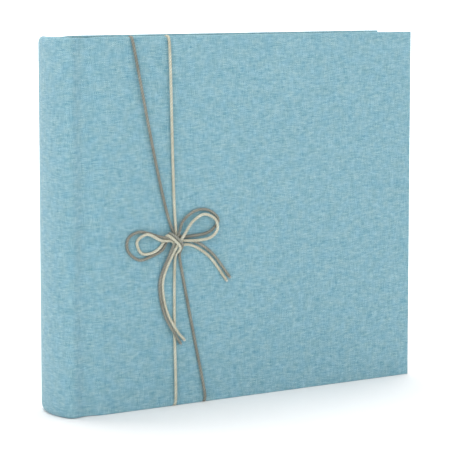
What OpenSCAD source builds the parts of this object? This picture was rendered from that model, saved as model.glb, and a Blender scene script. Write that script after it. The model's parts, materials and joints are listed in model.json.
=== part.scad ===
// Book-bound scrapbook album, standing upright and closed.
// X runs from the spine (-X) to the fore edge (+X), Y from the front cover (-Y) to the back cover (+Y),
// Z from the tail edge on the ground up to the head edge.

/* [Covers] */
// Height of the covers
cover_h = 290; // [280:1:310]
// Width of a cover from the spine shoulder to the fore edge
cover_w = 318; // [310:1:330]
// Thickness of the closed album over both covers
album_t = 50; // [49:0.5:54]
// Thickness of the grey board inside a cover
board_t = 2.5; // [2:0.1:2.7]
// Distance from the spine shoulder to the near edge of a board
board_start = 23; // [22.5:0.5:26]

/* [Cloth] */
// Thickness of the book cloth
cloth_t = 0.5; // [0.4:0.05:0.6]
// Width of the cloth that is folded round to the inside of a cover
turn_in = 16; // [12:1:20]
// Thickness of the paper pasted inside a cover
pastedown_t = 0.3; // [0.2:0.05:0.4]

/* [Spine] */
// How far the rounded spine bulges beyond its shoulders
spine_bulge = 9; // [7:0.5:10]
// Thickness of the card that stiffens the spine
liner_t = 1.2; // [0.8:0.1:1.4]
// Thickness of the gauze glued over the backs of the guards
mull_t = 0.3; // [0.2:0.05:0.4]
// Depth of the hinge groove below the cover's face
groove_depth = 2; // [1.6:0.1:2.2]
// Distance from the spine shoulder to a cover's hinge line
hinge_s = 13; // [12:0.5:14]
// Radius of the head band and the tail band
band_r = 1.3; // [1:0.1:1.5]

/* [Pages] */
// Thickness of a card leaf
leaf_t = 0.4; // [0.3:0.05:0.45]
// How far the covers stand beyond the leaves
square_w = 4; // [3:0.5:5]
// Distance from the spine shoulder to the leaves' fold line
leaf_s = 20; // [19:0.5:22]

/* [Cords] */
// Diameter of each cord of the bow
cord_d = 2.4; // [2:0.1:2.4]

/* [Hidden] */
$fn = 96;
LEAVES = 30;
function leaf_name(k) = str("leaf_", k < 10 ? "0" : "", k);

half_t = album_t / 2;
album_w = cover_w + spine_bulge;
fore_x = album_w / 2;
shoulder_x = fore_x - cover_w;
spine_r = (half_t * half_t + spine_bulge * spine_bulge) / (2 * spine_bulge);
spine_x = -fore_x + spine_r;
liner_r = spine_r - cloth_t;
mull_r = liner_r - liner_t;
guard_r = mull_r - mull_t;
eps = 0.01;

// The two halves of the cloth meet at a hinge line with a slit of this width on each side
hinge_gap = 0.3;
hinge_x = shoulder_x + hinge_s;
groove_y = half_t - groove_depth;
groove_end = board_start - 2;
board_x = shoulder_x + board_start;
board_out = half_t - cloth_t;
board_in = board_out - board_t;
turn_y = board_in - cloth_t;
paper_y = turn_y - pastedown_t;
bevel_w = 2.4;
bevel_d = 1.3;

// Leaves: the first and the last are the flyleaves, and the front one clears the cords inside the cover
leaf_x = shoulder_x + leaf_s;
leaf_gap = 0.3;
guard_gap = 0.4;
first_y = -paper_y + 2 * cord_d + 0.6;
last_y = paper_y - 0.8;
pitch = (last_y - first_y) / (LEAVES + 1);
guard_t = pitch - 0.1;
end_guard_y = groove_y - cloth_t - 0.3;
leaf_low = square_w;
leaf_high = cover_h - square_w;
leaf_end = fore_x - square_w - 1;
function leaf_y(k) = first_y + k * pitch;

linen = [0.55, 0.72, 0.76];
board_grey = [0.62, 0.6, 0.56];
paper_white = [0.95, 0.94, 0.9];
gauze = [0.86, 0.84, 0.78];
cream = [0.87, 0.84, 0.73];
taupe = [0.58, 0.55, 0.5];

// Outline in plan of the spine's solid, from hinge line to hinge line, inset by d
module spine_plan(d) {
    intersection() {
        translate([spine_x, 0]) circle(spine_r - d);
        translate([-fore_x - 1, -half_t]) square([fore_x + 1 + shoulder_x, album_t]);
    }
    y = half_t - d;
    polygon([
        [shoulder_x - eps, -y],
        [shoulder_x + 4, -y + 0.3],
        [shoulder_x + 9, -y + groove_depth - 0.3],
        [hinge_x - hinge_gap, -y + groove_depth],
        [hinge_x - hinge_gap, y - groove_depth],
        [shoulder_x + 9, y - groove_depth + 0.3],
        [shoulder_x + 4, y - 0.3],
        [shoulder_x - eps, y]
    ]);
}

// Half-plane box in plan that keeps what is within half-width w of the middle
module plan_band(w) {
    translate([-fore_x - 1, -w]) square([spine_r, 2 * w]);
}

module spine_ring(outer, inner, w, low, high) {
    translate([0, 0, low]) linear_extrude(high - low)
        intersection() {
            difference() {
                translate([spine_x, 0]) circle(outer);
                translate([spine_x, 0]) circle(inner);
            }
            plan_band(w);
        }
}

module spine_cloth() {
    color(linen) {
        linear_extrude(cover_h) difference() {
            spine_plan(0);
            spine_plan(cloth_t);
            // The slit at each hinge line stays open
            translate([hinge_x - hinge_gap - eps, -half_t]) square([1, album_t]);
            translate([hinge_x - 2, -groove_y + cloth_t]) square([2, 2 * (groove_y - cloth_t)]);
        }
        // Folded edges over the head and the tail of the liner
        for (z = [0, cover_h - cloth_t])
            spine_ring(liner_r + eps, mull_r, half_t - 4, z, z + cloth_t);
    }
}

module spine_liner() {
    color(board_grey) spine_ring(liner_r, mull_r, half_t - 4, cloth_t, cover_h - cloth_t);
}

module spine_mull() {
    color(gauze) spine_ring(mull_r, guard_r, end_guard_y, leaf_low + 2, leaf_high - 2);
}

// Card guards that carry the leaves, cut to the round of the spine
module page_guards() {
    color(paper_white) intersection() {
        translate([spine_x, 0, 0]) cylinder(h = cover_h, r = guard_r);
        union() {
            for (k = [1:LEAVES]) guard(leaf_y(k) - guard_t / 2, guard_t);
            guard(-end_guard_y, first_y + end_guard_y + guard_t / 2);
            guard(last_y - guard_t / 2, end_guard_y - last_y + guard_t / 2);
        }
    }
}

module guard(y, t) {
    translate([-fore_x, y, leaf_low]) cube([leaf_x - guard_gap + fore_x, t, leaf_high - leaf_low]);
}

// Rolled cotton band along the back of the guards
module book_band(z) {
    band_path_r = guard_r - band_r - 0.2;
    color(linen) intersection() {
        translate([spine_x, 0, z]) rotate_extrude() translate([band_path_r, 0]) circle(band_r, $fn = 24);
        translate([-fore_x, -end_guard_y, 0]) cube([spine_r, 2 * end_guard_y, cover_h]);
    }
}

module head_band() {
    book_band(leaf_high + band_r);
}

module tail_band() {
    book_band(leaf_low - band_r);
}

// Cover parts are drawn as the front cover, and the back cover is their mirror image
module cover_slab(x0, x1, y0, y1, z0, z1) {
    translate([x0, -y1, z0]) cube([x1 - x0, y1 - y0, z1 - z0]);
}

// The near edge is bevelled where the cloth dips into the groove
module board() {
    color(board_grey) translate([0, 0, cloth_t]) linear_extrude(cover_h - 2 * cloth_t) polygon([
        [board_x, -board_in],
        [board_x, -board_out + bevel_d],
        [board_x + bevel_w, -board_out],
        [fore_x - cloth_t, -board_out],
        [fore_x - cloth_t, -board_in]
    ]);
}

module cover_cloth() {
    color(linen) {
        // Groove and face
        linear_extrude(cover_h) polygon([
            [hinge_x + hinge_gap, -groove_y],
            [shoulder_x + groove_end, -groove_y],
            [board_x + 2, -half_t],
            [fore_x, -half_t],
            [fore_x, -turn_y],
            [fore_x - turn_in, -turn_y],
            [fore_x - turn_in, -board_in],
            [fore_x - cloth_t, -board_in],
            [fore_x - cloth_t, -board_out],
            [board_x + 2, -board_out],
            [shoulder_x + groove_end, -groove_y + cloth_t],
            [hinge_x + hinge_gap, -groove_y + cloth_t]
        ]);
        for (z = [0, cover_h - cloth_t])
            cover_slab(board_x + 2, fore_x - eps, board_in - eps, board_out + eps, z, z + cloth_t);
        for (z = [0, cover_h - turn_in])
            cover_slab(board_x + 2, fore_x - turn_in + eps, turn_y, board_in, z, z + turn_in);
    }
}

// The paper lies on the board in the middle and on the turned-in cloth round it
module pastedown() {
    color(paper_white) {
        cover_slab(board_x + 2, fore_x - square_w, paper_y, turn_y, square_w, cover_h - square_w);
        cover_slab(board_x + 2, fore_x - turn_in, turn_y - eps, board_in, turn_in, cover_h - turn_in);
    }
}

// Notches that the cords press into the head and tail edges of the front cover
module cord_notches() {
    for (s = [cream_head_s, taupe_head_s]) cord_notch(s, cover_h);
    for (s = [cream_tail_s, taupe_tail_s]) cord_notch(s, 0);
}

module cord_notch(s, z) {
    translate([shoulder_x + s - notch_w / 2, -half_t - 1, z - notch_depth])
        cube([notch_w, half_t - paper_y + 2, 2 * notch_depth]);
}

module front_board() {
    color(board_grey) difference() {
        board();
        cord_notches();
    }
}

module front_cloth() {
    color(linen) difference() {
        cover_cloth();
        cord_notches();
    }
}

module back_board() {
    mirror([0, 1, 0]) board();
}

module back_cloth() {
    mirror([0, 1, 0]) cover_cloth();
}

module front_pastedown() {
    pastedown();
}

module back_pastedown() {
    mirror([0, 1, 0]) pastedown();
}

// A leaf from its fold line to the fore edge; k counts from the front flyleaf
module leaf(k) {
    color(paper_white)
        translate([leaf_x + leaf_gap, leaf_y(k) - leaf_t / 2, leaf_low])
            cube([leaf_end - leaf_x - leaf_gap, leaf_t, leaf_high - leaf_low]);
}

// Cord routes: each point is [distance from the spine shoulder, height above the ground,
// distance of the cord's middle from the cover's face]. The knot is at knot_s, knot_z.
knot_s = 88;
knot_z = 130;
cream_head_s = 84;
taupe_head_s = 52;
cream_tail_s = 89;
taupe_tail_s = 116;
cord_r = cord_d / 2;
notch_w = cord_d + 0.8;
notch_depth = 4.5;
over_head = cover_h - 0.6;
under_tail = 1.3;
inside_h = -(half_t - paper_y) - cord_r;

// Once round the front cover: over the head edge, down the inside and round the tail edge.
// The cords cross inside, where one is lifted over the other.
cross_share = 0.54;
function round_cover(head_s, tail_s, lift) = [
    [head_s, cover_h - 3, cord_r],
    [head_s, over_head, -0.2],
    [head_s, over_head, inside_h + 1.4],
    [head_s, cover_h - 3, inside_h],
    [head_s + (tail_s - head_s) * cross_share, cover_h * (1 - cross_share), inside_h - lift],
    [tail_s, 4, inside_h],
    [tail_s, under_tail, inside_h + 1.4],
    [tail_s, under_tail, -0.2],
    [tail_s, 4, cord_r]
];

function at_knot(points) = [for (p = points) [knot_s + p[0], knot_z + p[1], p[2]]];

cream_route = concat(
    at_knot([
        [8.8, -78, 1.4], [1.2, -70.5, 4.1], [-6.8, -54, 1.4], [-10.2, -31, 1.2], [-2.6, -9.5, 3.6],
        [7, 5.2, 4.9], [17, 15.4, 2.4], [27, 20, 2.4], [36.5, 15.4, 3.4], [38.2, 7.6, 3.6],
        [32, 1.4, 3.2], [9.2, 0.6, 2.4], [3, 2.4, 2.2], [1.2, 15, 1.2]
    ]),
    round_cover(cream_head_s, cream_tail_s, 0),
    at_knot([
        [1.3, -10.5, 1.3], [3, -6.8, 3.8], [2.2, -3.2, 6.9], [-5.2, 4.1, 6.8], [-7.6, 5.8, 4.4],
        [-8.2, 3.4, 1.3], [-11.8, -2.8, 1.3], [-20, -7.4, 1.3], [-29, -6.8, 1.3], [-33, 2.4, 1.4],
        [-26, 7.8, 3.8], [-12.2, 2, 3.8], [-3.5, 1.2, 4.2], [1, -3, 1.5], [14, -3.2, 1.2],
        [31, -13, 1.2], [48, -34, 1.2]
    ])
);

taupe_route = concat(
    at_knot([
        [5.4, -80.5, 1.6], [0.2, -74, 3.8], [-9, -56, 1.4], [-12.8, -31, 1.2], [-4.8, -9, 3.2],
        [2.6, 6.5, 4.2], [7.5, 15.4, 2], [19, 23, 1.2], [31, 23, 1.2], [40.5, 14.6, 1.2],
        [33, 6.2, 1.2], [17, 3.6, 1.2], [5, 4.2, 1.2], [-0.8, 8.6, 1.2]
    ]),
    round_cover(taupe_head_s, taupe_tail_s, cord_d + 0.2),
    at_knot([
        [4.8, -11, 1.3], [4.1, -1.6, 6.9], [-3.1, 5.6, 6.7], [-5, 7.1, 3.4], [-5.5, 4.2, 1.2],
        [-10, -5, 1.3], [-20, -9.8, 1.2], [-31, -12, 1.2], [-41, -4, 1.2], [-40.5, 5.4, 1.2],
        [-31, 9.8, 1.2], [-12.4, 4.8, 2.9], [-4.5, 3.6, 4.6], [-0.6, 1.2, 1.2], [18.5, -1, 1.2],
        [34, -11, 1.2], [50.8, -31.4, 1.2]
    ])
);

function cord_point(p) = [shoulder_x + p[0], -half_t - p[2], p[1]];
function unit(v) = v / norm(v);
function tangent(path, i) =
    unit(path[min(i + 1, len(path) - 1)] - path[max(i - 1, 0)]);
function across(v, t) = unit(v - (v * t) * t);
// One sideways direction per ring, carried along the path so that the tube doesn't twist
function sideways(path, i, v) =
    i == len(path) ? [] : let (n = across(v, tangent(path, i))) concat([n], sideways(path, i + 1, n));

// Round tube of eight sides through the points of a route
module cord_tube(route) {
    sides = 8;
    path = [for (p = route) cord_point(p)];
    side = sideways(path, 0, [0, 0.3, 1]);
    rings = [
        for (i = [0:len(path) - 1])
            let (u = side[i], v = cross(tangent(path, i), u))
                for (j = [0:sides - 1])
                    path[i] + cord_r * (cos(j * 360 / sides) * u + sin(j * 360 / sides) * v)
    ];
    last = len(path) - 1;
    faces = concat(
        [[for (j = [0:sides - 1]) j]],
        [
            for (i = [0:last - 1], j = [0:sides - 1])
                [i * sides + j, (i + 1) * sides + j, (i + 1) * sides + (j + 1) % sides, i * sides + (j + 1) % sides]
        ],
        [[for (j = [sides - 1:-1:0]) last * sides + j]]
    );
    polyhedron(points = rings, faces = faces, convexity = 10);
}

module cream_cord() {
    color(cream) cord_tube(cream_route);
}

module taupe_cord() {
    color(taupe) cord_tube(taupe_route);
}

spine_cloth();
spine_liner();
spine_mull();
page_guards();
head_band();
tail_band();
front_board();
front_cloth();
front_pastedown();
cream_cord();
taupe_cord();
back_board();
back_cloth();
back_pastedown();
leaf(0);  // front_flyleaf
for (k = [1:LEAVES]) leaf(k);
leaf(LEAVES + 1);  // back_flyleaf
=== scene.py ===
import json
import math
import random

import bpy
import numpy as np
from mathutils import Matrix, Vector, noise

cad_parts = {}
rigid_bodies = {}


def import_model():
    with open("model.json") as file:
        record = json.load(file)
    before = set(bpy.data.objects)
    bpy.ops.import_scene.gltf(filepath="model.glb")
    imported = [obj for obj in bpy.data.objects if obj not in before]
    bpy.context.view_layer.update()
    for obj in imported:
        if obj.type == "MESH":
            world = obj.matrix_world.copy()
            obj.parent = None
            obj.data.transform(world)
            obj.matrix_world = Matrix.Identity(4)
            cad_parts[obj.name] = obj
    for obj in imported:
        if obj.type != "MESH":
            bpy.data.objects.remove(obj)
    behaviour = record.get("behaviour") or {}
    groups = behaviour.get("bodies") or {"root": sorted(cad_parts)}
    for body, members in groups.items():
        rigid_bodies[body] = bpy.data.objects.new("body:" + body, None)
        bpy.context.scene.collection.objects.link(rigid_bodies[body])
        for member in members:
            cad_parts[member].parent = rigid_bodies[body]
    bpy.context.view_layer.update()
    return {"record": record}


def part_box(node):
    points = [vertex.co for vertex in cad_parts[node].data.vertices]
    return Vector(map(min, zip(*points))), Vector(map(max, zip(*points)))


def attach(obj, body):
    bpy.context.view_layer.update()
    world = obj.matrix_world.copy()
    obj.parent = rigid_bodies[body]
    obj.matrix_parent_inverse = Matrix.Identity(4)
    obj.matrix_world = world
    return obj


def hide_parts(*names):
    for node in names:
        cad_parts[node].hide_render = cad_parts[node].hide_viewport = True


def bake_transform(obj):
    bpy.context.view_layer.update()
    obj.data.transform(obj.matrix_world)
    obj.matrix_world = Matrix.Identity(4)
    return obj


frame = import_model()
MM = 0.001

# ---- places read from the frame ----
JOINTS = {joint["name"]: joint for joint in frame["record"]["behaviour"]["joints"]}
FRONT_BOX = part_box("front_cloth")
SPINE_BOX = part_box("spine_cloth")
BOARD_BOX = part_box("front_board")
LEAF_COUNT = sum(name.startswith("leaf_") for name in frame["record"]["behaviour"]["bodies"])
HEIGHT = FRONT_BOX[1][2]
FORE_X = FRONT_BOX[1][0]
HALF_T = -FRONT_BOX[0][1]
TURN_Y = -FRONT_BOX[1][1]
SPINE_X = SPINE_BOX[0][0]
BOARD_X = BOARD_BOX[0][0]
BOARD_START = 23 * MM
SHOULDER_X = BOARD_X - BOARD_START
SPINE_BULGE = SHOULDER_X - SPINE_X
SPINE_R = (HALF_T**2 + SPINE_BULGE**2) / (2 * SPINE_BULGE)
SPINE_CENTRE_X = SPINE_X + SPINE_R
PAPER_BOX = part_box("front_pastedown")
PAPER_Y = -PAPER_BOX[1][1]
LEAF_X = JOINTS["leaf_01_turn"]["pos_m"][0]
GUARD_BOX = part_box("page_guards")


# ---- camera ----
def make_camera():
    data = bpy.data.cameras.new("camera")
    data.lens = 152.3
    data.shift_y = -0.12
    camera = bpy.data.objects.new("camera", data)
    camera.location = (-0.8061, -1.2953, 0.3346)
    camera.rotation_euler = (math.radians(90 - 5.8), 0, math.radians(-31.78))
    bpy.context.scene.collection.objects.link(camera)
    bpy.context.scene.camera = camera


# ---- shader building ----
class Shader:
    """A node material under construction."""

    def __init__(self, name, roughness, **sockets):
        self.material = bpy.data.materials.new(name)
        self.material.use_nodes = True
        self.tree = self.material.node_tree
        self.bsdf = next(n for n in self.tree.nodes if n.type == "BSDF_PRINCIPLED")
        self.bsdf.inputs["Roughness"].default_value = roughness
        for socket, value in sockets.items():
            self.bsdf.inputs[socket.replace("_", " ")].default_value = value

    def put(self, socket, value):
        """Feed a socket from another socket, a number or a colour."""
        if isinstance(value, bpy.types.NodeSocket):
            self.tree.links.new(value, socket)
        elif isinstance(value, (tuple, list)) and len(value) == 3 and socket.type == "RGBA":
            socket.default_value = (*value, 1)
        else:
            socket.default_value = value

    def node(self, kind, inputs=(), **settings):
        made = self.tree.nodes.new(kind)
        for key, value in settings.items():
            setattr(made, key, value)
        for key, value in dict(inputs).items():
            self.put(made.inputs[key], value)
        return made

    def math(self, operation, a, b=0.0):
        return self.node("ShaderNodeMath", {0: a, 1: b}, operation=operation).outputs[0]

    def mix(self, factor, a, b, blend="MIX"):
        made = self.node("ShaderNodeMix", data_type="RGBA", blend_type=blend)
        self.put(made.inputs[0], factor)
        self.put(made.inputs[6], a)
        self.put(made.inputs[7], b)
        return made.outputs[2]

    def noise(self, vector, scale, detail=2.0):
        inputs = {"Vector": vector, "Scale": scale, "Detail": detail}
        return self.node("ShaderNodeTexNoise", inputs).outputs["Fac"]

    def join(self, x, y, z=0.0):
        return self.node("ShaderNodeCombineXYZ", {0: x, 1: y, 2: z}).outputs[0]

    def split(self, vector):
        return self.node("ShaderNodeSeparateXYZ", {0: vector}).outputs

    def spread(self, value, low, high, to_low=0.0, to_high=1.0):
        inputs = {0: value, 1: low, 2: high, 3: to_low, 4: to_high}
        return self.node("ShaderNodeMapRange", inputs).outputs[0]

    def flat_map(self):
        return self.node("ShaderNodeUVMap", uv_map="UVMap").outputs[0]

    def place(self):
        return self.node("ShaderNodeTexCoord").outputs["Object"]

    def finish(self, colour, height=None, depth=0.0001, strength=1.0):
        self.put(self.bsdf.inputs["Base Color"], colour)
        if height is not None:
            inputs = {"Height": height, "Distance": depth, "Strength": strength}
            bump = self.node("ShaderNodeBump", inputs).outputs[0]
            self.put(self.bsdf.inputs["Normal"], bump)
        return self.material


YARN_PITCH = 0.74 * MM
BAND_STITCH = 2.4 * MM
GAUZE_PITCH = 1.2 * MM


def stretched(shader, across, along, across_step, along_step, seed, detail=3.0):
    """Noise drawn out along the threads; the steps set how fast it changes each way."""
    start = shader.math("MULTIPLY_ADD", across, across_step)
    start.node.inputs[2].default_value = seed
    return shader.noise(shader.join(start, shader.math("MULTIPLY", along, along_step)), 1.0, detail)


def yarn_tone(shader, index, across, along, seed):
    """How light a yarn is: its own tone, drifting along it, with slubs that spread over several yarns."""
    own = stretched(shader, index, along, 7.31, 0.11, seed)
    slub = stretched(shader, across, along, 0.3, 0.06, seed + 4.3)
    mixed = shader.math("ADD", shader.math("MULTIPLY", own, 0.84), shader.math("MULTIPLY", slub, 0.16))
    return shader.spread(mixed, 0.36, 0.64)


def book_cloth():
    """Linen-like plain weave: blue and pale yarns of uneven dye and thickness, with painted shade between the
    threads.
    """
    shader = Shader("book_cloth", 0.88, Sheen_Weight=0.18, Sheen_Roughness=0.6, Specular_IOR_Level=0.3)
    flat = shader.flat_map()
    sway = shader.spread(shader.noise(flat, 30.0, 1.0), 0.3, 0.7, -0.7 * MM, 0.7 * MM)
    swayed = {0: flat, 1: shader.join(0.0, sway)}
    bent = shader.node("ShaderNodeVectorMath", swayed, operation="ADD").outputs[0]
    threads = shader.node("ShaderNodeVectorMath", {0: bent, 3: 1 / YARN_PITCH}, operation="SCALE")
    u, v, _ = shader.split(threads.outputs[0])
    warp, weft = shader.math("FLOOR", u), shader.math("FLOOR", v)
    over = shader.math("FLOORED_MODULO", shader.math("ADD", warp, weft), 2.0)
    dome_u = shader.math("SINE", shader.math("MULTIPLY", shader.math("FRACT", u), math.pi))
    dome_v = shader.math("SINE", shader.math("MULTIPLY", shader.math("FRACT", v), math.pi))
    warp_high = shader.math("MULTIPLY", dome_u, shader.math("POWER", dome_v, 0.4))
    weft_high = shader.math("MULTIPLY", dome_v, shader.math("POWER", dome_u, 0.4))
    height = shader.math("ADD", shader.math("MULTIPLY", shader.math("SUBTRACT", 1.0, over), warp_high),
                         shader.math("MULTIPLY", over, weft_high))
    warp_tone, weft_tone = yarn_tone(shader, warp, u, v, 0.31), yarn_tone(shader, weft, v, u, 9.17)
    warp_colour = shader.mix(warp_tone, (0.13, 0.34, 0.44), (0.315, 0.565, 0.65))
    weft_colour = shader.mix(weft_tone, (0.125, 0.335, 0.435), (0.42, 0.645, 0.70))
    colour = shader.mix(over, warp_colour, weft_colour)
    # Painted shade: each yarn darkens towards its sides and in the gaps between threads, following the weave
    # height
    shade = shader.spread(height, 0.0, 0.8, 0.66, 1.06)
    colour = shader.mix(1.0, colour, shader.join(shade, shade, shade), "MULTIPLY")
    faded = shader.spread(shader.noise(flat, 125.0, 3.0), 0.32, 0.68)
    colour = shader.mix(1.0, colour, shader.mix(faded, (0.94, 0.985, 1.02), (1.08, 1.015, 0.97)), "MULTIPLY")
    return shader.finish(colour, height, 0.00012, 0.8)


def paper(name, colour, grain=900.0):
    """Uncoated paper or card: a felt grain, faint clouds and a few stray fibres."""
    shader = Shader(name, 0.85, Specular_IOR_Level=0.3)
    place = shader.place()
    cloud = shader.spread(shader.noise(place, 45.0, 3.0), 0.3, 0.7, 0.965, 1.02)
    felt = shader.noise(place, grain, 4.0)
    shade = shader.math("MULTIPLY", cloud, shader.spread(felt, 0.3, 0.7, 0.96, 1.02))
    tinted = shader.mix(1.0, colour, shader.join(shade, shade, shade), "MULTIPLY")
    x, y, z = shader.split(place)
    bent = shader.join(shader.math("MULTIPLY", x, 900.0), shader.math("MULTIPLY", y, 900.0),
                       shader.math("MULTIPLY", z, 160.0))
    fibre = shader.spread(shader.noise(bent, 1.0, 3.0), 0.70, 0.74)
    tinted = shader.mix(shader.math("MULTIPLY", fibre, 0.22), tinted, (0.42, 0.36, 0.27))
    return shader.finish(tinted, felt, 0.00012, 0.6)


def guard_card():
    """Card strips stacked side by side, with a painted shade line where two strips meet."""
    shader = Shader("guard_card", 0.85, Specular_IOR_Level=0.3)
    place = shader.place()
    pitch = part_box("leaf_02")[0][1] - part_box("leaf_01")[0][1]
    _, across, _ = shader.split(place)
    strip = shader.math("FRACT", shader.math("MULTIPLY", across, 1 / pitch))
    gap = shader.spread(shader.math("ABSOLUTE", shader.math("SUBTRACT", strip, 0.5)), 0.38, 0.48)
    felt = shader.noise(place, 1600.0, 4.0)
    card = shader.mix(shader.spread(felt, 0.3, 0.7), (0.66, 0.64, 0.58), (0.76, 0.745, 0.69))
    # Painted shade: the sunk gap between two strips is also darkened in the colour
    colour = shader.mix(shader.math("MULTIPLY", gap, 0.55), card, (0.30, 0.28, 0.24))
    return shader.finish(colour, shader.math("SUBTRACT", felt, gap), 0.0001, 0.6)


def cardboard(name, light, dark):
    """Pressed grey board with dark and light fibres."""
    shader = Shader(name, 0.9)
    place = shader.place()
    fibres = shader.spread(shader.noise(place, 700.0, 5.0), 0.35, 0.65)
    return shader.finish(shader.mix(fibres, dark, light), shader.noise(place, 1200.0, 3.0), 0.0001, 0.5)


def cord_cotton(name, dark, light):
    """Fibres that run along the plies of a twisted cord, with painted shade where the plies meet."""
    shader = Shader(name, 0.8, Sheen_Weight=0.15, Sheen_Roughness=0.45)
    along, around, _ = shader.split(shader.flat_map())
    slanted = shader.join(shader.math("MULTIPLY", along, 260.0), shader.math("MULTIPLY", around, 26.0))
    fibres = shader.noise(slanted, 1.0, 4.0)
    slow = shader.noise(shader.join(shader.math("MULTIPLY", along, 60.0), 0.5), 1.0)
    tone = shader.math("ADD", shader.math("MULTIPLY", fibres, 0.6), shader.math("MULTIPLY", slow, 0.4))
    colour = shader.mix(shader.spread(tone, 0.35, 0.65), dark, light)
    crown = shader.math("COSINE", shader.math("MULTIPLY", around, 2 * math.pi * PLIES))
    # Painted shade: the dark colour is laid into the valleys between the plies
    colour = shader.mix(shader.spread(crown, -1.0, 0.3, 0.75, 0.0), colour, dark)
    return shader.finish(colour, fibres, 0.00015, 0.7)


def cut_fibres(name, colour):
    """Loose fibre ends, paler than the twisted cord."""
    shader = Shader(name, 0.85, Sheen_Weight=0.2)
    tone = shader.spread(shader.noise(shader.place(), 4000.0), 0.3, 0.7, 0.85, 1.1)
    return shader.finish(shader.mix(1.0, colour, shader.join(tone, tone, tone), "MULTIPLY"))


def band_cotton():
    """Rolled band sewn over with white and blue threads."""
    shader = Shader("band_cotton", 0.7, Sheen_Weight=0.2)
    along, around, _ = shader.split(shader.flat_map())
    stitch = shader.math("FLOOR", shader.math("MULTIPLY", along, 1 / BAND_STITCH))
    stripe = shader.math("FLOORED_MODULO", stitch, 2.0)
    colour = shader.mix(stripe, (0.78, 0.78, 0.74), (0.22, 0.43, 0.50))
    silk = shader.noise(shader.join(shader.math("MULTIPLY", along, 4000.0), around), 1.0)
    return shader.finish(colour, silk, 0.00005, 0.5)


def gauze():
    """Open cotton gauze soaked with glue."""
    shader = Shader("mull", 0.8)
    _, y, z = shader.split(shader.place())
    across = shader.math("SINE", shader.math("MULTIPLY", y, 2 * math.pi / GAUZE_PITCH))
    up = shader.math("SINE", shader.math("MULTIPLY", z, 2 * math.pi / GAUZE_PITCH))
    weave = shader.math("MAXIMUM", across, up)
    colour = shader.mix(shader.spread(weave, 0.0, 1.0), (0.55, 0.50, 0.38), (0.76, 0.73, 0.64))
    return shader.finish(colour, weave, 0.0001, 0.6)


def glassine():
    """Thin translucent interleaf with an embossed net of cells."""
    shader = Shader("glassine", 0.32, Alpha=0.5)
    place = shader.place()
    wobble = shader.node("ShaderNodeVectorMath", {0: place}, operation="ADD")
    shift = shader.node("ShaderNodeTexNoise", {"Vector": place, "Scale": 60.0}).outputs["Color"]
    small = shader.node("ShaderNodeVectorMath", {0: shift, 3: 0.004}, operation="SCALE").outputs[0]
    shader.put(wobble.inputs[1], small)
    cells = shader.node("ShaderNodeTexVoronoi", {"Vector": wobble.outputs[0], "Scale": 110.0},
                        feature="DISTANCE_TO_EDGE").outputs["Distance"]
    lines = shader.spread(cells, 0.0, 0.06)
    return shader.finish(shader.mix(lines, (0.86, 0.87, 0.86), (0.93, 0.94, 0.93)), lines, 0.0001, 0.6)


# ---- mesh helpers ----
def new_object(name, points, faces, material, uvs=None, smooth=True):
    """A mesh piece; uvs holds one (u, v) per face corner, in metres."""
    mesh = bpy.data.meshes.new(name)
    mesh.from_pydata([tuple(p) for p in points], [], faces)
    if uvs is not None:
        layer = mesh.uv_layers.new(name="UVMap")
        layer.data.foreach_set("uv", np.array(uvs, np.float32).ravel())
    mesh.materials.append(material)
    mesh.validate()
    mesh.polygons.foreach_set("use_smooth", [smooth] * len(mesh.polygons))
    made = bpy.data.objects.new(name, mesh)
    bpy.context.scene.collection.objects.link(made)
    return made


def apply_modifiers(piece):
    bpy.context.view_layer.update()
    evaluated = piece.evaluated_get(bpy.context.evaluated_depsgraph_get())
    mesh = bpy.data.meshes.new_from_object(evaluated)
    piece.modifiers.clear()
    piece.data = mesh
    return piece


def smooth_step(t):
    t = np.clip(t, 0.0, 1.0)
    return t * t * (3 - 2 * t)


# ---- cords ----
KNOT_S, KNOT_Z = 88, 130
CREAM_HEAD_S, TAUPE_HEAD_S = 84, 52
CREAM_TAIL_S, TAUPE_TAIL_S = 89, 116
CORD_D = 2.4
PLIES = 3
LAY_LENGTH = 7.5 * MM


def at_knot(points):
    return [(KNOT_S + s, KNOT_Z + z, h) for s, z, h in points]


def round_cover(head_s, tail_s, lift):
    """Over the head edge, down the inside and round the tail edge of the front cover, in millimetres."""
    high = HEIGHT / MM
    inside = -(HALF_T - PAPER_Y) / MM - CORD_D / 2
    share = 0.54
    return [
        (head_s, high - 3, 1.2),
        (head_s, high - 0.6, -0.2),
        (head_s, high - 0.6, inside + 1.4),
        (head_s, high - 3, inside),
        (head_s + (tail_s - head_s) * share, high * (1 - share), inside - lift),
        (tail_s, 4, inside),
        (tail_s, 1.3, inside + 1.4),
        (tail_s, 1.3, -0.2),
        (tail_s, 4, 1.2),
    ]


# Each route point is (distance from the spine shoulder, height, distance of the cord's middle from the cover)
CREAM_ROUTE = [
    *at_knot([
        (8.8, -78, 1.4), (1.2, -70.5, 4.1), (-6.8, -54, 1.4), (-10.2, -31, 1.2), (-2.6, -9.5, 3.6),
        (7, 5.2, 4.9), (17, 15.4, 2.4), (27, 20, 2.4), (36.5, 15.4, 3.4), (38.2, 7.6, 3.6),
        (32, 1.4, 3.2), (9.2, 0.6, 2.4), (3, 2.4, 2.2), (1.2, 15, 1.2),
    ]),
    *round_cover(CREAM_HEAD_S, CREAM_TAIL_S, 0),
    *at_knot([
        (1.3, -10.5, 1.3), (3, -6.8, 3.8), (2.2, -3.2, 6.9), (-5.2, 4.1, 6.8), (-7.6, 5.8, 4.4),
        (-8.2, 3.4, 1.3), (-11.8, -2.8, 1.3), (-20, -7.4, 1.3), (-29, -6.8, 1.3), (-33, 2.4, 1.4),
        (-26, 7.8, 3.8), (-12.2, 2, 3.8), (-3.5, 1.2, 4.2), (1, -3, 1.5), (14, -3.2, 1.2),
        (31, -13, 1.2), (48, -34, 1.2),
    ]),
]
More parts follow.
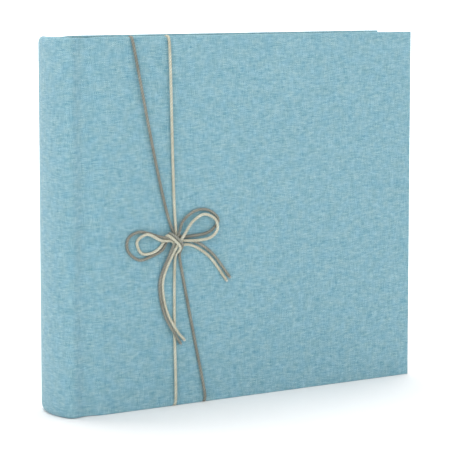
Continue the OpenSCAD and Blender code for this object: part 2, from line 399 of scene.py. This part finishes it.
TAUPE_ROUTE = [
    *at_knot([
        (5.4, -80.5, 1.6), (0.2, -74, 3.8), (-9, -56, 1.4), (-12.8, -31, 1.2), (-4.8, -9, 3.2),
        (2.6, 6.5, 4.2), (7.5, 15.4, 2), (19, 23, 1.2), (31, 23, 1.2), (40.5, 14.6, 1.2),
        (33, 6.2, 1.2), (17, 3.6, 1.2), (5, 4.2, 1.2), (-0.8, 8.6, 1.2),
    ]),
    *round_cover(TAUPE_HEAD_S, TAUPE_TAIL_S, CORD_D + 0.2),
    *at_knot([
        (4.8, -11, 1.3), (4.1, -1.6, 6.9), (-3.1, 5.6, 6.7), (-5, 7.1, 3.4), (-5.5, 4.2, 1.2),
        (-10, -5, 1.3), (-20, -9.8, 1.2), (-31, -12, 1.2), (-41, -4, 1.2), (-40.5, 5.4, 1.2),
        (-31, 9.8, 1.2), (-12.4, 4.8, 2.9), (-4.5, 3.6, 4.6), (-0.6, 1.2, 1.2), (18.5, -1, 1.2),
        (34, -11, 1.2), (50.8, -31.4, 1.2),
    ]),
]


def route_points(route):
    return np.array([(SHOULDER_X + s * MM, -HALF_T - h * MM, z * MM) for s, z, h in route])


def smooth_path(points, step):
    """Centripetal curve through the points, resampled to an even step."""
    padded = np.vstack([2 * points[0] - points[1], points, 2 * points[-1] - points[-2]])
    curve = []
    for p0, p1, p2, p3 in zip(padded, padded[1:], padded[2:], padded[3:]):
        t0 = 0.0
        t1 = t0 + math.sqrt(np.linalg.norm(p1 - p0))
        t2 = t1 + math.sqrt(np.linalg.norm(p2 - p1))
        t3 = t2 + math.sqrt(np.linalg.norm(p3 - p2))
        count = max(4, int(np.linalg.norm(p2 - p1) / step))
        for t in np.linspace(t1, t2, count, endpoint=False):
            a1 = (t1 - t) / (t1 - t0) * p0 + (t - t0) / (t1 - t0) * p1
            a2 = (t2 - t) / (t2 - t1) * p1 + (t - t1) / (t2 - t1) * p2
            a3 = (t3 - t) / (t3 - t2) * p2 + (t - t2) / (t3 - t2) * p3
            b1 = (t2 - t) / (t2 - t0) * a1 + (t - t0) / (t2 - t0) * a2
            b2 = (t3 - t) / (t3 - t1) * a2 + (t - t1) / (t3 - t1) * a3
            curve.append((t2 - t) / (t2 - t1) * b1 + (t - t1) / (t2 - t1) * b2)
    curve.append(points[-1])
    return resample(np.array(curve), step)


def resample(curve, step):
    lengths = np.linalg.norm(np.diff(curve, axis=0), axis=1)
    at = np.concatenate([[0.0], np.cumsum(lengths)])
    count = int(round(at[-1] / step)) + 1
    even = np.linspace(0.0, at[-1], count)
    return np.stack([np.interp(even, at, curve[:, axis]) for axis in range(3)], axis=1)


def lie_on_cover(path):
    """Keep the smooth path from dipping into the cover between its route points."""
    rest = -HALF_T - (CORD_D / 2 - 0.1) * MM
    over_face = (path[:, 1] < -HALF_T + 0.5 * MM) & (path[:, 2] > 5 * MM) & (path[:, 2] < HEIGHT - 5 * MM)
    path[over_face, 1] = np.minimum(path[over_face, 1], rest)
    return path


def path_frames(path):
    """Tangent and two sideways directions per point, carried along without twisting."""
    tangents = np.gradient(path, axis=0)
    tangents /= np.linalg.norm(tangents, axis=1)[:, None]
    side = np.cross(tangents[0], (0.1, 1.0, 0.2))
    sides = []
    for tangent in tangents:
        side = side - tangent * np.dot(side, tangent)
        side = side / np.linalg.norm(side)
        sides.append(side)
    sides = np.array(sides)
    return tangents, sides, np.cross(tangents, sides)


def twisted_cord(name, route, material, lay_length):
    """A cord of twisted plies, as one closed mesh along its route."""
    step, sides = 0.45 * MM, 24
    path = lie_on_cover(smooth_path(route_points(route), step))
    _, across, up = path_frames(path)
    ply_r, ply_out = 0.62, 0.38
    angles = np.arange(sides) * 2 * math.pi / sides
    points, along = [], np.arange(len(path)) * step
    radius = CORD_D / 2 * MM
    for i, centre in enumerate(path):
        twist = 2 * math.pi * along[i] / lay_length
        part = 2 * math.pi / PLIES
        from_ply = (angles - twist + part / 2) % part - part / 2
        reach = ply_out * np.cos(from_ply) + np.sqrt(ply_r**2 - (ply_out * np.sin(from_ply)) ** 2)
        end = min(along[i], along[-1] - along[i]) / MM
        flare = 1 + 0.12 * math.exp(-((end / 2.0) ** 2)) if end > 0 else 0.85
        ring = radius * flare * reach
        outward = np.cos(angles)[:, None] * across[i] + np.sin(angles)[:, None] * up[i]
        points.extend(centre + ring[:, None] * outward)
    faces, uvs = [], []
    for i in range(len(path) - 1):
        for j in range(sides):
            k = (j + 1) % sides
            faces.append((i * sides + j, i * sides + k, (i + 1) * sides + k, (i + 1) * sides + j))
            lead = along[i] / lay_length
            around = (j / sides - lead, (j + 1) / sides - lead)
            turned = [angle - step / lay_length for angle in around]
            uvs += [(along[i], around[0]), (along[i], around[1]),
                    (along[i + 1], turned[1]), (along[i + 1], turned[0])]
    last = (len(path) - 1) * sides
    faces += [tuple(range(sides))[::-1], tuple(last + j for j in range(sides))]
    uvs += [(0.0, 0.0)] * (2 * sides)
    cord = new_object(name, points, faces, material, uvs)
    return cord, path


def frayed_end(name, tip, out, material):
    """A small tuft of cut fibres that continues the cord past its end."""
    across = out.orthogonal().normalized()
    up = out.cross(across)
    points, faces = [], []
    for _ in range(46):
        angle, share = random.uniform(0, 2 * math.pi), math.sqrt(random.random())
        spread = across * math.cos(angle) + up * math.sin(angle)
        root = tip + spread * share * 0.85 * MM - out * 0.5 * MM
        length, lean = random.uniform(1.2, 2.3) * MM, random.uniform(0.02, 0.16)
        for k in range(4):
            share_out = k / 3
            middle = root + out * length * share_out + spread * length * lean * share_out**2
            middle.y = min(middle.y, -HALF_T - 0.12 * MM)
            radius = (0.13 - 0.07 * share_out) * MM
            for turn in range(4):
                around = turn * math.pi / 2
                points.append(middle + (across * math.cos(around) + up * math.sin(around)) * radius)
        base = len(points) - 16
        for k in range(3):
            for turn in range(4):
                a, b = base + 4 * k + turn, base + 4 * k + (turn + 1) % 4
                faces.append((a, b, b + 4, a + 4))
        faces += [tuple(base + turn for turn in (3, 2, 1, 0)), tuple(base + 12 + turn for turn in range(4))]
    tuft = new_object(name, points, faces, material)
    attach(tuft, "front_cover")
    return tuft


def make_cords():
    random.seed(3)
    cream = (cord_cotton("cream_cord", (0.41, 0.385, 0.28), (0.80, 0.82, 0.705)),
             cut_fibres("cream_fibres", (0.86, 0.84, 0.76)))
    taupe = (cord_cotton("taupe_cord", (0.15, 0.15, 0.125), (0.38, 0.39, 0.34)),
             cut_fibres("taupe_fibres", (0.52, 0.50, 0.46)))
    for name, route, (twist, fibres) in (("cream", CREAM_ROUTE, cream), ("taupe", TAUPE_ROUTE, taupe)):
        cord, path = twisted_cord(name + "_bow_cord", route, twist, LAY_LENGTH)
        ends = [(Vector(path[0]), Vector(path[0] - path[6])),
                (Vector(path[-1]), Vector(path[-1] - path[-7]))]
        tufts = [frayed_end(f"{name}_tuft_{k}", tip, out.normalized(), fibres)
                 for k, (tip, out) in enumerate(ends)]
        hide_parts(name + "_cord")
        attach(cord, "front_cover")
        tuple(path[0])


# ---- book cloth ----
ROUND_R = 0.8 * MM
SPINE_ARC_R, SHOULDER_R = 50 * MM, 6 * MM
GROOVE_START, GROOVE_LOW, GROOVE_HIGH, GROOVE_END = 0.3 * MM, 11 * MM, 11.3 * MM, 27.4 * MM
GROOVE_DEPTH = 2.4 * MM
DENT_DEPTH, DENT_HALF_WIDTH = 1.75 * MM, 1.5 * MM
CORNER_ZONE = 24 * MM
CLOTH_T = 0.5 * MM
TURN_IN = 16 * MM


def groove_dip(s):
    """Depth of the cloth below the cover's face, at a distance from the spine shoulder."""
    down = smooth_step((s - GROOVE_START) / (GROOVE_LOW - GROOVE_START))
    return GROOVE_DEPTH * down * (1 - smooth_step((s - GROOVE_HIGH) / (GROOVE_END - GROOVE_HIGH)))


def spine_plan():
    """Plan outline of half the spine: a flat arc from the middle, then a round shoulder."""
    corner_y = HALF_T - SHOULDER_R
    reach = math.sqrt((SPINE_ARC_R - SHOULDER_R) ** 2 - corner_y**2)
    corner_x = SPINE_X + SPINE_ARC_R - reach
    turn = math.atan2(corner_y, reach)
    plan = [(SPINE_X + SPINE_ARC_R * (1 - math.cos(a)), -SPINE_ARC_R * math.sin(a))
            for a in np.linspace(0, turn, 16)]
    plan += [(corner_x - SHOULDER_R * math.cos(a), -corner_y - SHOULDER_R * math.sin(a))
             for a in np.linspace(turn, math.pi / 2, 14)[1:]]
    return plan


def cloth_columns():
    """Plan outline of the front half of the cloth, from the middle of the spine to the fore edge."""
    plan = spine_plan()
    width = (FORE_X - SHOULDER_X) / MM
    stops = np.concatenate([
        np.arange(math.floor((plan[-1][0] - SHOULDER_X) / MM) + 1.5, 34, 0.8),
        np.arange(34, 125, 0.8),
        np.linspace(126, width - CORNER_ZONE / MM, 46),
        np.linspace(width - CORNER_ZONE / MM, width - ROUND_R / MM, 9)[1:],
    ])
    plan += [(SHOULDER_X + s * MM, -HALF_T + float(groove_dip(s * MM))) for s in stops]
    return np.array(plan)


def plan_normals(columns):
    along = np.gradient(columns, axis=0)
    along /= np.linalg.norm(along, axis=1)[:, None]
    return np.stack([-along[:, 1], along[:, 0]], axis=1)


def edge_dents(s, spots):
    """How far the cords press into the edge, at distances s from the shoulder."""
    dents = (DENT_DEPTH * np.exp(-(((s - spot * MM) / DENT_HALF_WIDTH) ** 2)) for spot in spots)
    return sum(dents, s * 0)


def wrap_path(depth, high, deep, turn):
    """Inset and depth of the cloth round one edge: over the edge, across the thickness, and back inside.

    The outer edge is a quarter ellipse, high by deep."""
    quarter = np.linspace(0, math.pi / 2, 7)
    inner = min(ROUND_R, depth - deep)
    path = [(high * (1 - math.sin(a)), deep * (1 - math.cos(a))) for a in quarter]
    path += [(inner * (1 - math.cos(a)), depth - inner * (1 - math.sin(a))) for a in quarter[1:]]
    path += [(inner + (turn - inner) * t, depth) for t in (0.12, 0.3, 0.55, 0.8, 1.0)]
    return path


def cloth_half(name, side, material, dents):
    """The front (side -1) or back (side 1) half of the book cloth, as one sheet with turned-in edges."""
    columns = cloth_columns()
    inward = plan_normals(columns)
    inward *= np.sign(inward[-1, 1])
    s = columns[:, 0] - SHOULDER_X
    on_board = smooth_step((s - 16.5 * MM) / (5 * MM))
    on_spine = 1 - smooth_step((s + 1 * MM) / (9 * MM))
    # The turned edge is fullest on the spine, thin across the groove and as deep as the cover on the board
    wrap_depth = 1.5 * MM + on_spine * 1.8 * MM + on_board * (HALF_T - TURN_Y - 1.5 * MM)
    radius = ROUND_R + on_spine * 4.6 * MM
    deep = ROUND_R + on_spine * 2.3 * MM
    turn = 2.2 * MM - on_spine * 0.9 * MM + on_board * (TURN_IN - 2.2 * MM)
    # The edge sinks a little at the groove, less at the tail, where the book stands on it
    dip = 0.7 * MM * smooth_step(s / (9 * MM)) * (1 - smooth_step((s - 14 * MM) / (12 * MM)))
    dip = {"head": dip, "tail": dip * 0.5}
    dent = {"head": edge_dents(s, dents[0]), "tail": edge_dents(s, dents[1])}
    arc_u = np.concatenate([[0.0], np.cumsum(np.linalg.norm(np.diff(columns, axis=0), axis=1))])
    rows = np.concatenate([np.linspace(ROUND_R, CORNER_ZONE, 13),
                           np.linspace(CORNER_ZONE, HEIGHT - CORNER_ZONE, 56)[1:-1],
                           np.linspace(HEIGHT - CORNER_ZONE, HEIGHT - ROUND_R, 13)])
    points, index = [], {}

    def add(key, x, y, z):
        index[key] = len(points)
        from_middle = min(1.0, -y / (8 * MM))
        uneven = 0.05 * MM * from_middle * noise.noise(Vector((x * 28, y * 28 + side * 5, z * 28)))
        points.append((x, -side * y - side * uneven, z))

    def squeeze(value, low_stop, inset, start_inset):
        """Move a place near an edge inwards, so that the turned-in cloth meets its neighbour at a mitre."""
        near = low_stop + CORNER_ZONE
        if value >= near:
            return value
        return near - (near - value) * (CORNER_ZONE - inset) / (CORNER_ZONE - start_inset)

    n, m = len(columns), len(rows)
    flat_zone = (CORNER_ZONE, HEIGHT - CORNER_ZONE)
    low = radius + dip["tail"] + dent["tail"]
    high = HEIGHT - radius - dip["head"] - dent["head"]
    face_z = [np.interp(rows, (rows[0], *flat_zone, rows[-1]), (low[i], *flat_zone, high[i]))
              for i in range(n)]
    for i in range(n):
        for j in range(m):
            add(("face", i, j), columns[i, 0], columns[i, 1], face_z[i][j])
    paths = [wrap_path(wrap_depth[i], radius[i], deep[i], turn[i]) for i in range(n)]
    steps = len(paths[0])
    path_v = [np.concatenate([[0.0], np.cumsum(np.linalg.norm(np.diff(path, axis=0), axis=1))])
              for path in paths]
    for t in range(1, steps):
        for i in range(n):
            inset, depth = paths[i][t]
            x = columns[i, 0]
            if x > FORE_X - CORNER_ZONE:
                x = FORE_X - squeeze(FORE_X - x, 0.0, paths[-1][t][0], ROUND_R)
            x += inward[i, 0] * depth
            y = columns[i, 1] + inward[i, 1] * depth
            # The cords dent the edge, and not the cloth further in
            pressed = 1 - smooth_step(inset / (7 * MM))
            add(("tail", i, t), x, y, inset + dip["tail"][i] + dent["tail"][i] * pressed)
            add(("head", i, t), x, y, HEIGHT - inset - dip["head"][i] - dent["head"][i] * pressed)
        inset, depth = paths[-1][t]
        for j in range(1, m - 1):
            z = squeeze(rows[j], 0.0, inset, ROUND_R)
            z = HEIGHT - squeeze(HEIGHT - z, 0.0, inset, ROUND_R)
            add(("fore", j, t), FORE_X - inset, -HALF_T + depth, z)

    def strip(kind, k, t):
        if kind in ("tail", "head"):
            return index[(kind, k, t)] if t else index[("face", k, 0 if kind == "tail" else m - 1)]
        if k == 0:
            return strip("tail", n - 1, t)
        if k == m - 1:
            return strip("head", n - 1, t)
        return index[("fore", k, t)] if t else index[("face", n - 1, k)]

    faces, uvs = [], []
    for i in range(n - 1):
        for j in range(m - 1):
            faces.append([index[("face", i, j)], index[("face", i + 1, j)],
                          index[("face", i + 1, j + 1)], index[("face", i, j + 1)]])
            uvs += [(arc_u[i], face_z[i][j]), (arc_u[i + 1], face_z[i + 1][j]),
                    (arc_u[i + 1], face_z[i + 1][j + 1]), (arc_u[i], face_z[i][j + 1])]
    for t in range(steps - 1):
        for i in range(n - 1):
            u0, u1 = arc_u[i], arc_u[i + 1]
            (a0, a1), (b0, b1) = path_v[i][t:t + 2], path_v[i + 1][t:t + 2]
            faces.append([strip("tail", i + 1, t), strip("tail", i, t),
                          strip("tail", i, t + 1), strip("tail", i + 1, t + 1)])
            uvs += [(u1, low[i + 1] - b0), (u0, low[i] - a0), (u0, low[i] - a1), (u1, low[i + 1] - b1)]
            faces.append([strip("head", i, t), strip("head", i + 1, t),
                          strip("head", i + 1, t + 1), strip("head", i, t + 1)])
            uvs += [(u0, high[i] + a0), (u1, high[i + 1] + b0), (u1, high[i + 1] + b1), (u0, high[i] + a1)]
        for j in range(m - 1):
            u0, u1 = arc_u[-1] + path_v[-1][t], arc_u[-1] + path_v[-1][t + 1]
            faces.append([strip("fore", j, t), strip("fore", j, t + 1),
                          strip("fore", j + 1, t + 1), strip("fore", j + 1, t)])
            uvs += [(u0, rows[j]), (u1, rows[j]), (u1, rows[j + 1]), (u0, rows[j + 1])]
    if side > 0:
        corner = 0
        flipped = []
        for face in faces:
            flipped += [(-u, v) for u, v in uvs[corner:corner + len(face)][::-1]]
            corner += len(face)
        faces, uvs = [face[::-1] for face in faces], flipped
    cloth = new_object(name, points, faces, material, uvs)
    thick = cloth.modifiers.new("thickness", "SOLIDIFY")
    thick.thickness, thick.offset = CLOTH_T, -1
    mark_sharp(apply_modifiers(cloth), 60)
    return cloth, arc_u[-1]


def make_cloth(material):
    heads, tails = (CREAM_HEAD_S, TAUPE_HEAD_S), (CREAM_TAIL_S, TAUPE_TAIL_S)
    for name, side, body, dents in (("front_cloth_wrap", -1, "front_cover", (heads, tails)),
                                    ("back_cloth_wrap", 1, "back_cover", ((), ()))):
        cloth, width = cloth_half(name, side, material, dents)
        if side < 0:
            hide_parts("front_cloth", "spine_cloth")
        else:
            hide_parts("back_cloth")
        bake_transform(cloth)


# ---- papers ----
def slab_sheet(name, xs, zs, surface, thickness, material):
    """A closed thin sheet in X and Z; surface(x, z) is the middle's Y, thickness(x, z) its thickness."""
    n, m = len(xs), len(zs)
    points = []
    for sign in (-1, 1):
        for x in xs:
            for z in zs:
                points.append((x, surface(x, z) + sign * thickness(x, z) / 2, z))
    faces, uvs = [], []

    def quad(a, b, c, d):
        faces.append((a, b, c, d))
        uvs.extend((points[k][0], points[k][2]) for k in (a, b, c, d))

    def at(i, j, layer):
        return layer * n * m + i * m + j

    for i in range(n - 1):
        for j in range(m - 1):
            quad(at(i, j, 0), at(i + 1, j, 0), at(i + 1, j + 1, 0), at(i, j + 1, 0))
            quad(at(i, j, 1), at(i, j + 1, 1), at(i + 1, j + 1, 1), at(i + 1, j, 1))
    for i in range(n - 1):
        quad(at(i + 1, 0, 0), at(i, 0, 0), at(i, 0, 1), at(i + 1, 0, 1))
        quad(at(i, m - 1, 0), at(i + 1, m - 1, 0), at(i + 1, m - 1, 1), at(i, m - 1, 1))
    for j in range(m - 1):
        quad(at(0, j, 0), at(0, j + 1, 0), at(0, j + 1, 1), at(0, j, 1))
        quad(at(n - 1, j + 1, 0), at(n - 1, j, 0), at(n - 1, j, 1), at(n - 1, j + 1, 1))
    made = new_object(name, points, faces, material, uvs)
    mark_sharp(made)
    return made


def mark_sharp(piece, angle=40):
    """Keep crisp edges where faces meet at more than the angle, in degrees."""
    piece.data.set_sharp_from_angle(angle=math.radians(angle))


def make_leaves(page, end_paper):
    """A sheet for every leaf, with close columns at its fold line; away from the fold it stays slightly
    uneven.
    """
    random.seed(7)
    names = [("front_flyleaf", end_paper)]
    names += [(f"leaf_{k:02d}", page) for k in range(1, LEAF_COUNT + 1)]
    names += [("back_flyleaf", end_paper)]
    for name, material in names:
        low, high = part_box(name)
        middle, thick = (low[1] + high[1]) / 2, high[1] - low[1]
        fold = JOINTS[name + "_turn"]["pos_m"][0]
        phase, tall = random.uniform(0, 9), random.uniform(-1, 1)

        def surface(x, z):
            far = smooth_step((x - fold) / (60 * MM))
            sway = math.sin(x * 21 + phase) * 0.5 + tall * math.sin((z - low[2]) * 11 + phase)
            return middle + 0.11 * MM * far * sway

        xs = [fold + out * MM for out in (-0.4, -0.1, 0.3, 0.9, 2, 6)]
        xs += list(np.linspace(fold + 14 * MM, high[0], 20))
        zs = np.linspace(low[2], high[2], 16)
        sheet = slab_sheet(name + "_sheet", xs, zs, surface, lambda x, z: thick, material)
        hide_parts(name)
        "endpaper" if "fly" in name else "page_card"
        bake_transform(sheet)


def make_interleaves(material):
    """One translucent interleaf beside each leaf, on the side of its own cover."""
    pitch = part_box("leaf_02")[0][1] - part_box("leaf_01")[0][1]
    clear = 0.23 * MM
    for k in range(1, LEAF_COUNT + 1):
        low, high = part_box(f"leaf_{k:02d}")
        middle = (low[1] + high[1]) / 2
        side = -1 if k <= LEAF_COUNT // 2 else 1

        def surface(x, _):
            out = smooth_step((x - low[0]) / (25 * MM))
            return middle + side * (clear + out * (pitch / 2 - clear))

        xs = list(np.linspace(low[0] + 0.6 * MM, low[0] + 26 * MM, 5))
        xs += list(np.linspace(low[0] + 40 * MM, high[0] - 1.5 * MM, 10))
        zs = np.linspace(low[2] + 1.5 * MM, high[2] - 1.5 * MM, 8)
        sheet = slab_sheet(f"interleaf_{k:02d}", xs, zs, surface, lambda x, z: 0.05 * MM, material)
        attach(sheet, f"leaf_{k:02d}")


def make_pastedowns(material):
    """Paper inside each cover: a low step shows where it runs over the turned-in cloth."""
    for name, side, body in (("front_pastedown", -1, "front_cover"), ("back_pastedown", 1, "back_cover")):
        low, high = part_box(name)
        step_in = 12 * MM

        def sunk(x, z):
            edge = min(high[0] - x, z - low[2], high[2] - z)
            return float(smooth_step((edge - step_in + 1 * MM) / (2.5 * MM)))

        def middle(x, z):
            return side * (PAPER_Y + 0.15 * MM + 0.35 * MM * sunk(x, z))

        ends = [0, 2, 5, 9, 10.5, 11.2, 11.9, 12.6, 13.4, 14.5, 18]
        xs = [low[0], low[0] + 10 * MM] + list(np.linspace(low[0] + 25 * MM, high[0] - 30 * MM, 16))
        xs += [high[0] - e * MM for e in ends[::-1]]
        zs = [low[2] + e * MM for e in ends] + list(np.linspace(low[2] + 30 * MM, high[2] - 30 * MM, 16))
        zs += [high[2] - e * MM for e in ends[::-1]]
        sheet = slab_sheet(name + "_sheet", xs, zs, middle, lambda x, z: 0.3 * MM, material)
        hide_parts(name)
        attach(sheet, body)


def wall(name, plan, thickness, zs, material):
    """A closed upright sheet that follows a plan outline, with its middle on the outline."""
    plan = np.array(plan)
    along = np.gradient(plan, axis=0)
    normal = np.stack([along[:, 1], -along[:, 0]], axis=1) / np.linalg.norm(along, axis=1)[:, None]
    n, m = len(plan), len(zs)
    points = [(*(p + q * side * thickness / 2), z)
              for side in (-1, 1) for p, q in zip(plan, normal) for z in zs]
    faces = []

    def at(i, j, layer):
        return layer * n * m + i * m + j

    for i in range(n - 1):
        for j in range(m - 1):
            faces.append((at(i, j, 0), at(i + 1, j, 0), at(i + 1, j + 1, 0), at(i, j + 1, 0)))
            faces.append((at(i, j, 1), at(i, j + 1, 1), at(i + 1, j + 1, 1), at(i + 1, j, 1)))
        faces.append((at(i + 1, 0, 0), at(i, 0, 0), at(i, 0, 1), at(i + 1, 0, 1)))
        faces.append((at(i, m - 1, 0), at(i + 1, m - 1, 0), at(i + 1, m - 1, 1), at(i, m - 1, 1)))
    for j in range(m - 1):
        faces.append((at(0, j, 0), at(0, j + 1, 0), at(0, j + 1, 1), at(0, j, 1)))
        faces.append((at(n - 1, j + 1, 0), at(n - 1, j, 0), at(n - 1, j, 1), at(n - 1, j + 1, 1)))
    uvs = [(points[k][0], points[k][2]) for face in faces for k in face]
    sheet = new_object(name, points, faces, material, uvs)
    mark_sharp(sheet)
    return sheet


def make_spine_card(material):
    """The card under the cloth of the spine, bent like the cloth and short of its rounded ends."""
    low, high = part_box("spine_liner")
    inset, thickness = CLOTH_T + 0.65 * MM, 1.2 * MM
    half = [Vector(point) for point in spine_plan() if -point[1] < high[1]]
    inner = []
    for before, point, after in zip([half[0]] + half, half, half[1:] + [half[-1]]):
        along = (after - before).normalized()
        inner.append((point.x - along.y * inset, point.y + along.x * inset))
    plan = [(x, -y) for x, y in inner[:0:-1]] + inner
    zs = np.linspace(low[2] + 5 * MM, high[2] - 5 * MM, 24)
    card = wall("spine_card_sheet", plan, thickness, zs, material)
    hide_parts("spine_liner")
    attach(card, "page_block")


def make_joint_papers(material):
    """The end paper's fold across each inner joint, from the cover to the guards."""
    for name, side, body in (("front_joint_paper", -1, "front_cover"), ("back_joint_paper", 1, "back_cover")):
        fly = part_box("front_flyleaf" if side < 0 else "back_flyleaf")
        fly_y = abs((fly[0][1] + fly[1][1]) / 2)
        outline = [(BOARD_X + 3 * MM, PAPER_Y - 0.1 * MM), (BOARD_X + 0.8 * MM, PAPER_Y - 0.15 * MM),
                   (LEAF_X + 1.6 * MM, PAPER_Y - 0.6 * MM), (LEAF_X + 0.5 * MM, PAPER_Y - 1.4 * MM),
                   (LEAF_X + 0.1 * MM, fly_y + 0.3 * MM)]
        if fly_y > PAPER_Y - 1.5 * MM:
            outline = outline[:2] + [(LEAF_X + 1.4 * MM, PAPER_Y - 0.25 * MM),
                                     (LEAF_X + 0.3 * MM, fly_y + 0.25 * MM)]
        path = smooth_path(np.array([(x, side * y, 0) for x, y in outline]), 0.5 * MM)
        zs = np.linspace(GUARD_BOX[0][2], GUARD_BOX[1][2], 12)
        sheet = wall(name, path[:, :2], 0.16 * MM, zs, material)
        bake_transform(sheet)


def make_bands(material):
    """Head and tail bands: a cotton roll sewn over thread by thread, bent to the round of the spine."""
    for name in ("head_band", "tail_band"):
        low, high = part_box(name)
        radius = (high[2] - low[2]) / 2
        bend_r = SPINE_CENTRE_X - low[0] - radius
        reach = math.asin((high[1] - 0.6 * MM) / (bend_r + radius))
        count, sides = 420, 16
        middle_z = (low[2] + high[2]) / 2
        points, faces, uvs = [], [], []
        for i in range(count):
            angle = reach * (2 * i / (count - 1) - 1)
            thread = 0.9 + 0.1 * abs(math.sin(bend_r * angle / (0.8 * MM) * math.pi))
            tip = 0.35 if i in (0, count - 1) else 1.0
            for j in range(sides):
                round_angle = 2 * math.pi * j / sides
                out = bend_r + radius * thread * tip * math.cos(round_angle)
                points.append((SPINE_CENTRE_X - out * math.cos(angle), out * math.sin(angle),
                               middle_z + radius * thread * tip * math.sin(round_angle)))
        for i in range(count - 1):
            for j in range(sides):
                k = (j + 1) % sides
                faces.append((i * sides + j, i * sides + k, (i + 1) * sides + k, (i + 1) * sides + j))
                u0, u1 = (2 * reach * bend_r * (i + d) / (count - 1) for d in (0, 1))
                uvs += [(u0, j / sides), (u0, (j + 1) / sides), (u1, (j + 1) / sides), (u1, j / sides)]
        last = (count - 1) * sides
        faces += [tuple(range(sides))[::-1], tuple(last + j for j in range(sides))]
        uvs += [(0.0, 0.0)] * (2 * sides)
        band = new_object(name + "_roll", points, faces, material, uvs)
        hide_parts(name)
        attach(band, "page_block")


def dress_cad_nodes(finishes):
    for node, material in finishes.items():
        for holder in bpy.data.objects:
            if holder.type == "MESH" and holder.name.split(".")[0] == node:
                holder.data.materials.clear()
                holder.data.materials.append(material)


# ---- studio ----
def make_stage():
    """A seamless white sweep: floor, curve and wall in one sheet, which glows far from the book."""
    sweep = Shader("floor", 0.9)
    tone = sweep.spread(sweep.noise(sweep.place(), 3.0), 0.3, 0.7, 0.93, 0.95)
    material = sweep.finish(sweep.join(tone, tone, tone))
    turned = Vector((math.sin(math.radians(31.8)), math.cos(math.radians(31.8))))
    far = sweep.node("ShaderNodeVectorMath", {0: sweep.place()}, operation="LENGTH").outputs["Value"]
    sweep.put(sweep.bsdf.inputs["Emission Color"], (1.0, 1.0, 1.0))
    sweep.put(sweep.bsdf.inputs["Emission Strength"], sweep.spread(far, 1.0, 2.6, 0.0, 0.75))
    profile = [(-30.0, 0.0), (4.6, 0.0)]
    profile += [(4.6 + math.sin(a), 1 - math.cos(a)) for a in np.linspace(0, math.pi / 2, 24)[1:]]
    profile.append((5.6, 6.0))
    points = []
    for side in (-30.0, 30.0):
        points += [(turned.x * d + turned.y * side, turned.y * d - turned.x * side, z) for d, z in profile]
    count = len(profile)
    faces = [(i, i + count, i + 1 + count, i + 1) for i in range(count - 1)]
    new_object("floor", points, faces, material)
    world = bpy.data.worlds.new("studio")
    world.use_nodes = True
    world.node_tree.nodes["Background"].inputs["Color"].default_value = (1, 1, 1, 1)
    world.node_tree.nodes["Background"].inputs["Strength"].default_value = 0.41
    bpy.context.scene.world = world
    book = (0, 0, HEIGHT / 2)
    lamps = (
        ("key", (-2.1, -1.5, 1.4), book, 1.0, 24),
        ("fill", (0.9, -2.3, 0.35), book, 1.8, 10),
        ("wash", (-0.3, -0.9, 2.6), book, 2.5, 13),
        ("wall", (0.2, 0.9, 2.8), (1.4, 2.4, 0.6), 2.5, 90),
    )
    for name, place, target, size, power in lamps:
        data = bpy.data.lights.new(name, "AREA")
        data.size, data.energy = size, power
        light = bpy.data.objects.new(name, data)
        light.location = place
        light.visible_camera = False
        light.rotation_euler = (Vector(place) - Vector(target)).to_track_quat("Z", "Y").to_euler()
        bpy.context.scene.collection.objects.link(light)


make_camera()
make_cords()
make_cloth(book_cloth())
end_paper = paper("end_paper", (0.76, 0.745, 0.69))
make_leaves(paper("page_card", (0.79, 0.78, 0.735), 1400.0), end_paper)
make_interleaves(glassine())
make_pastedowns(end_paper)
make_joint_papers(end_paper)
make_bands(band_cotton())
make_spine_card(cardboard("spine_card", (0.45, 0.41, 0.33), (0.33, 0.30, 0.24)))
grey = cardboard("grey_board", (0.42, 0.40, 0.35), (0.27, 0.255, 0.22))
dress_cad_nodes({
    "front_board": grey,
    "back_board": grey,
    "spine_mull": gauze(),
    "page_guards": guard_card(),
})
make_stage()
bpy.context.scene.view_settings.view_transform = "Standard"
